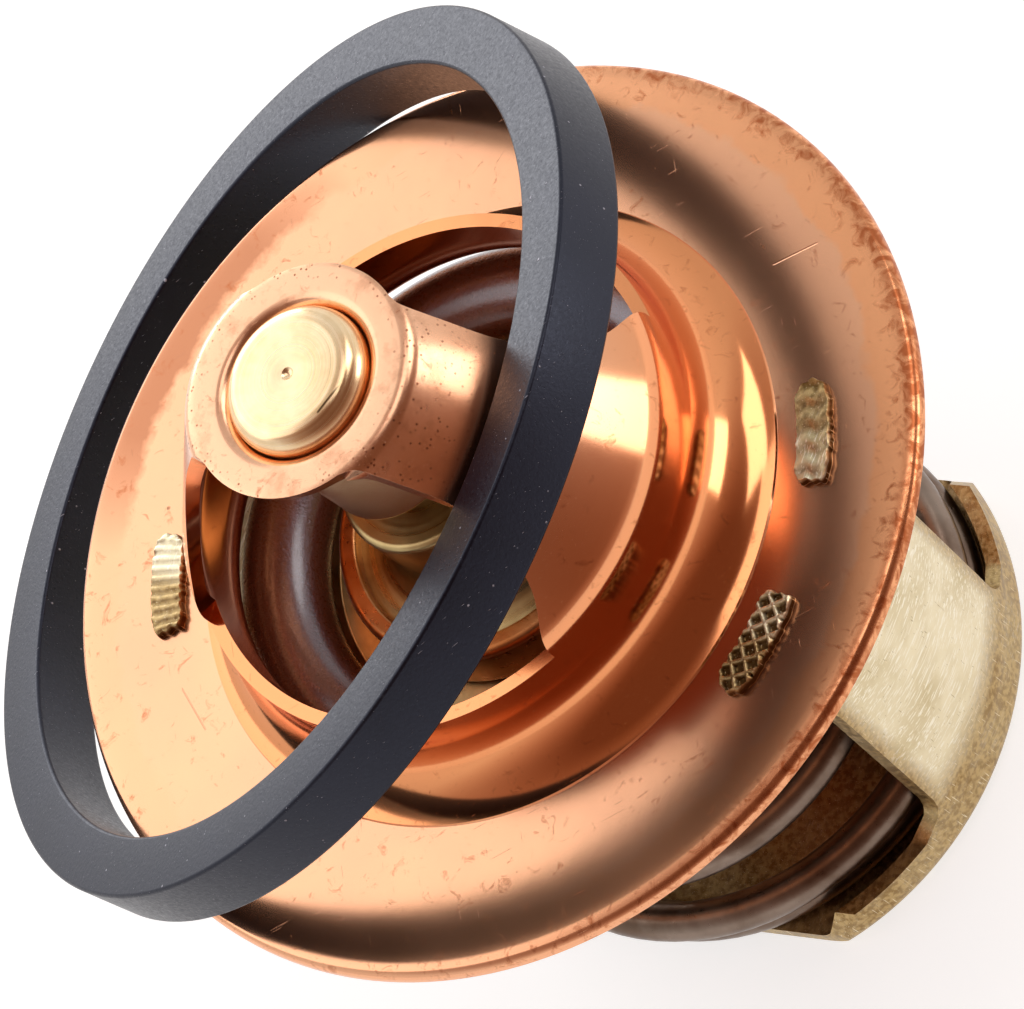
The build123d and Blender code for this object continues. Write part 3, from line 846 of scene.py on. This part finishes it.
class THERMO_OT_front(bpy.types.Operator):
    """Drawn flange, throat and bridge"""

    bl_idname = "thermo.front"
    bl_label = "Front pressing"

    def execute(self, context):
        obj = front_pressing(in_mm(context), tombac_pressing(context.scene.thermostat_colours))
        fit(obj, "housing", "flange_bridge")
        return {"FINISHED"}


class THERMO_OT_cage(bpy.types.Operator):
    """Rear cage with its peened tabs"""

    bl_idname = "thermo.cage"
    bl_label = "Rear cage"

    def execute(self, context):
        obj = rear_cage(in_mm(context), strip_brass(context.scene.thermostat_colours))
        fit(obj, "housing", "rear_cage")
        return {"FINISHED"}


class THERMO_OT_pin(bpy.types.Operator):
    """Turned adjusting pin in the bridge head"""

    bl_idname = "thermo.pin"
    bl_label = "Adjusting pin"

    def execute(self, context):
        colour = tuple(context.scene.thermostat_colours.bar_brass)
        profile = rounded(
            [(0, PIN_TOP - PUNCH_MARK[1]), (PUNCH_MARK[0], PIN_TOP), (PIN_R, PIN_TOP),
             (PIN_R, PIN_FOOT), (PISTON_R, PIN_FOOT), (PISTON_R, PISTON_TOP), (0, PISTON_TOP)],
            [0.05, 1.2, 0.3, 0.1, 0.1], 8)
        brass = turned_brass("Brass bar, turned", colour, rgb("f0ca98"), 0.22, 0.22, PIN_NICK)
        fit(lathe("pin", profile, brass), "housing", "adjusting_pin")
        return {"FINISHED"}


class THERMO_OT_element(bpy.types.Operator):
    """Wax element: guide and crimped cup"""

    bl_idname = "thermo.element"
    bl_label = "Wax element"

    def execute(self, context):
        brass = turned_brass("Brass bar, turned and tarnished", rgb("c6ae7c"), rgb("a2875a"), 0.3, 0.5)
        wide, ledge = GUIDE_FLANGE
        profile = rounded(
            [(PISTON_R, GUIDE_FOOT), (wide, GUIDE_FOOT), (wide, ledge), (GUIDE_R, ledge),
             (GUIDE_R, GUIDE_TOP), (PISTON_R, GUIDE_TOP), (PISTON_R, GUIDE_FOOT)],
            [0.05, 0.05, 2.85, 0.45, 0.1], 6)
        fit(lathe("guide", profile, brass), "valve", "element_guide")
        drawn = drawn_metal("Brass cup, drawn", rgb("d89a66"), rgb("b06c3c"), 0.3, 0.5, 0.006)
        fit(lathe("cup", rounded(CUP, CUP_ROUNDS, 8), drawn), "valve", "wax_cup")
        return {"FINISHED"}


class THERMO_OT_valve(bpy.types.Operator):
    """Rubber bead of the valve disc"""

    bl_idname = "thermo.valve"
    bl_label = "Valve bead"

    def execute(self, context):
        (r, z), (wide, high) = BEAD_MIDDLE, BEAD_HALF
        section = [(r + wide * math.cos(t), z + high * math.sin(t))
                   for t in np.linspace(0, 2 * math.pi, 48, endpoint=False)]
        # Dark brown rubber, its reddish brown partly a painted reflection of the copper wall around it
        colour = tuple(context.scene.thermostat_colours.bead_rubber)
        rubber = moulded("Rubber bead, moulded", colour, rgb("7c452e"), 0.32, 0.22, 0.05, 1.0, 1.0)
        fit(lathe("bead", section, rubber, 256, True), "valve", "valve_bead")
        return {"FINISHED"}


class THERMO_OT_spring(bpy.types.Operator):
    """Conical main spring"""

    bl_idname = "thermo.spring"
    bl_label = "Main spring"

    def execute(self, context):
        colour = tuple(context.scene.thermostat_colours.spring_steel)
        steel = drawn_metal("Spring steel wire, drawn", colour, rgb("6a5648"), 0.32, 0.3, 0.006)
        s = in_mm(context)
        obj = spring(s, steel)
        fit(obj, "housing", "main_spring")
        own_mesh(obj)
        return {"FINISHED"}


class THERMO_OT_seal(bpy.types.Operator):
    """Loose rubber seal tipped round the bridge"""

    bl_idname = "thermo.seal"
    bl_label = "Loose seal"

    def execute(self, context):
        s, colours = in_mm(context), context.scene.thermostat_colours
        matrix = (Matrix.Translation(Vector(SEAL_PLACE) * MM)
                  @ Matrix.Rotation(math.radians(SEAL_TURN), 4, "Z")
                  @ Matrix.Rotation(math.radians(SEAL_TIP), 4, "Y"))
        inner = s.seal_radius - s.seal_width
        start = ((s.seal_radius + inner) / 2, 0)
        section = rounded(
            [start, (s.seal_radius, 0), (s.seal_radius, -s.seal_height), (inner, -s.seal_height),
             (inner, 0), start],
            [SEAL_ROUND] * 4, 10.0)
        rubber = moulded("Rubber seal, moulded", tuple(colours.seal_rubber), rgb("10111e"),
                         0.36, 0.22, 0.014, 0.42, 0.0, tuple(colours.dust))
        obj = lathe("seal", section[:-1], rubber, 256, True, 40, matrix)
        fit(obj, "housing", "seal_ring")
        return {"FINISHED"}


class THERMO_OT_hidden(bpy.types.Operator):
    """Finish of the CAD pieces that show little"""

    bl_idname = "thermo.hidden"
    bl_label = "Inner pieces"

    def execute(self, context):
        looks = {
            "piston": drawn_metal("Steel pin, ground", rgb("c8c8c8"), rgb("b4b4b4"), 0.2, 0.2, 0.004),
            "valve_disc": drawn_metal(
                "Brass disc, pressed", rgb("c9a878"), rgb("9a7a4c"), 0.35, 0.5, 0.008),
            "guide_washer": moulded(
                "Fluoropolymer washer, cut", rgb("eeeee8"), rgb("deded6"), 0.5, 0.3, 0.01),
            "piston_boot": moulded("Rubber boot, moulded", rgb("202020"), rgb("161616"), 0.6, 0.3, 0.02),
            "wax_charge": moulded(
                "Wax with copper powder, cast", rgb("c9a26a"), rgb("a97c46"), 0.6, 0.2, 0.02),
        }
        for name, mat in looks.items():
            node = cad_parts[name]
            node.data.materials.clear()
            node.data.materials.append(mat)
        return {"FINISHED"}


def table():
    """White table: glows so that the camera and metal see it white, and takes the shadow."""
    mat, tree = new_material("Board, painted white")
    rays = add(tree, "LightPath", out=None)
    mirrored = add(tree, "Math", {0: rays["Is Glossy Ray"], 1: rays["Is Transmission Ray"]},
                   operation="MAXIMUM")
    seen = add(tree, "Math", {0: rays["Is Camera Ray"], 1: mirrored}, operation="MAXIMUM")
    share = add(tree, "Math", {0: seen, 1: GLOW_SHARE}, operation="MULTIPLY")
    painted = add(tree, "BsdfDiffuse", {"Color": rgb("f4f4f4")})
    glow = add(tree, "Emission", {"Color": rgb("ffffff"), "Strength": GLOW})
    shader = add(tree, "MixShader", {0: share, 1: painted, 2: glow})
    add(tree, "OutputMaterial", {"Surface": shader}, None)
    corners = [(x * TABLE_HALF, y * TABLE_HALF, TABLE_HEIGHT)
               for x, y in ((-1, -1), (1, -1), (1, 1), (-1, 1))]
    to_object("table", corners, [(0, 1, 2, 3)], mat)


def studio_world(scene):
    """White for the camera; for the object a soft grey, darker overhead, and darker and warmer
    still towards the side the photograph is taken from."""
    world = bpy.data.worlds.new("White studio")
    scene.world = world
    world.use_nodes = True
    tree = world.node_tree
    tree.nodes.clear()
    seen = add(tree, "LightPath", out="Is Camera Ray")
    way = add(tree, "TexCoord", out="Generated")
    height = add(tree, "SeparateXYZ", {0: way}, "Z")
    low = add(tree, "MapRange", {
        "Value": height, "From Min": 0.1, "From Max": 0.6, "To Min": 0.9, "To Max": 0.72})
    towards = add(tree, "VectorMath", {0: way, 1: DARK_SIDE}, "Value", operation="DOT_PRODUCT")
    shade = add(tree, "MapRange", {
        "Value": towards, "From Min": 0.25, "From Max": 0.85, "To Min": 1.0, "To Max": 0.25})
    warm = add(tree, "MapRange", {"Value": towards, "From Min": 0.25, "From Max": 0.85})
    white = rgb("ffffff")
    tint = laid_over(tree, white, (warm, rgb("ffb895")), (seen, white))
    level = add(tree, "Math", {0: low, 1: shade}, operation="MULTIPLY")
    level = add(tree, "Math", {0: level, 1: seen}, operation="MAXIMUM")
    sky = add(tree, "Background", {"Color": tint, "Strength": level})
    add(tree, "OutputWorld", {"Surface": sky}, None)


def softboxes(scene):
    """Soft lamps; the first one's edge makes the slow fall of light across the flange."""
    for name, way, distance, side, shift, sizes, level in LAMPS:
        back = Vector(way).normalized()
        across = Vector(side)
        across = (across - across.dot(back) * back).normalized()
        up = back.cross(across)
        light = bpy.data.lights.new(name, "AREA")
        light.shape = "RECTANGLE"
        light.size, light.size_y = sizes
        light.energy = level * math.pi * sizes[0] * sizes[1]
        lamp = bpy.data.objects.new(name, light)
        spot = Vector((0, 0, FACE * MM)) + back * distance + across * shift
        lamp.matrix_world = Matrix.Translation(spot) @ Matrix((across, up, back)).transposed().to_4x4()
        scene.collection.objects.link(lamp)


def photo_camera(scene):
    """Camera at the photograph's place, from its tilt, its roll, the turn of the legs below it
    and the flange's middle as the lens sees it."""
    tilt, roll, turn = -0.6804, -0.9621, math.radians(66)
    middle = Vector((-1.408, 0.3846, 440.483)) * MM
    focal_pixels, width_pixels, film = 8000, 1024, 36.0
    flip = Matrix(((1, 0, 0), (0, -1, 0), (0, 0, -1)))
    look = Matrix.Rotation(roll, 3, "Z") @ Matrix.Rotation(tilt, 3, "X") @ flip
    to_row = Matrix.Rotation(turn, 3, "Z")
    rows = [to_row @ Vector(row) for row in look]
    spot = to_row @ -(look.transposed() @ middle) + Vector((0, 0, FACE * MM))
    lens = bpy.data.cameras.new("camera")
    lens.sensor_width = film
    lens.lens = focal_pixels / width_pixels * film
    lens.clip_start, lens.clip_end = 0.01, 10.0
    camera = bpy.data.objects.new("camera", lens)
    axes = Matrix((rows[0], -rows[1], -rows[2])).transposed()
    camera.matrix_world = Matrix.Translation(spot) @ axes.to_4x4()
    scene.collection.objects.link(camera)
    scene.camera = camera


class THERMO_OT_stage(bpy.types.Operator):
    """Table, lamps, world and camera"""

    bl_idname = "thermo.stage"
    bl_label = "Stage"

    def execute(self, context):
        scene = context.scene
        scene.view_settings.view_transform = "Standard"
        table()
        studio_world(scene)
        softboxes(scene)
        photo_camera(scene)
        return {"FINISHED"}


class THERMO_PT_panel(bpy.types.Panel):
    """Lists the operators, sizes and colours in the sidebar"""

    bl_idname = "THERMO_PT_panel"
    bl_label = "Thermostat"
    bl_space_type = "VIEW_3D"
    bl_region_type = "UI"
    bl_category = "Thermostat"

    def draw(self, context):
        for group in (context.scene.thermostat_sizes, context.scene.thermostat_colours):
            for key in type(group).__annotations__:
                self.layout.prop(group, key)
        for cls in OPERATORS:
            self.layout.operator(cls.bl_idname)


OPERATORS = (THERMO_OT_front, THERMO_OT_cage, THERMO_OT_pin, THERMO_OT_element, THERMO_OT_valve,
             THERMO_OT_spring, THERMO_OT_seal, THERMO_OT_hidden, THERMO_OT_stage)
CLASSES = (ThermostatSizes, ThermostatColours, *OPERATORS, THERMO_PT_panel)


def register():
    for cls in CLASSES:
        bpy.utils.register_class(cls)
    bpy.types.Scene.thermostat_sizes = PointerProperty(type=ThermostatSizes)
    bpy.types.Scene.thermostat_colours = PointerProperty(type=ThermostatColours)


def unregister():
    del bpy.types.Scene.thermostat_sizes
    del bpy.types.Scene.thermostat_colours
    for cls in reversed(CLASSES):
        bpy.utils.unregister_class(cls)


def main():
    register()
    for cls in OPERATORS:
        area, name = cls.bl_idname.split(".")
        getattr(getattr(bpy.ops, area), name)()


if __name__ == "__main__":
    main()
